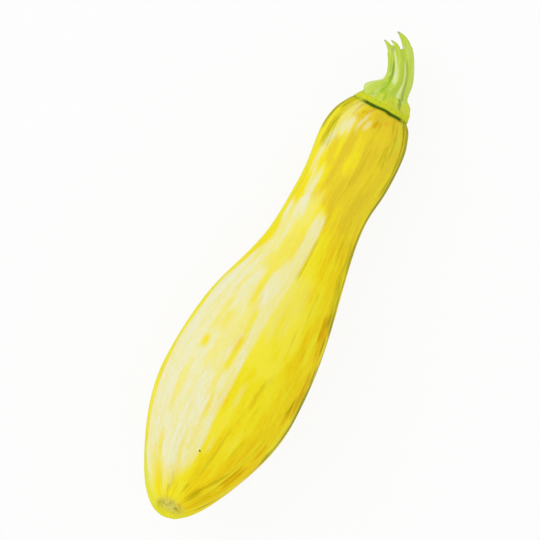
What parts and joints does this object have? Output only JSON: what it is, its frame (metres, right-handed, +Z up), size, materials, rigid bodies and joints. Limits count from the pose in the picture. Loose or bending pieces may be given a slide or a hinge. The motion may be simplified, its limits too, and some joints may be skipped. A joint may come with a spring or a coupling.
{
  "type": "straightneck squash",
  "caption": "Whole yellow summer squash lying on its side, with a swollen belly, a narrower straight neck, a scar where the blossom was and a ribbed green stem with a torn end.",
  "frame": {"origin": "on the surface the squash lies on, under the middle of its bounding box", "axes": "+X from the blossom end to the stem, +Y to the side the stem bends to, +Z up"},
  "size_m": [0.2178, 0.0582, 0.0589],
  "materials": {
    "skin": "semi-gloss, waxy",
    "stem": "matt, fibrous"
  },
  "bodies": {
    "root": {"fruit": "skin", "stem": "stem"}
  },
  "joints": []
}
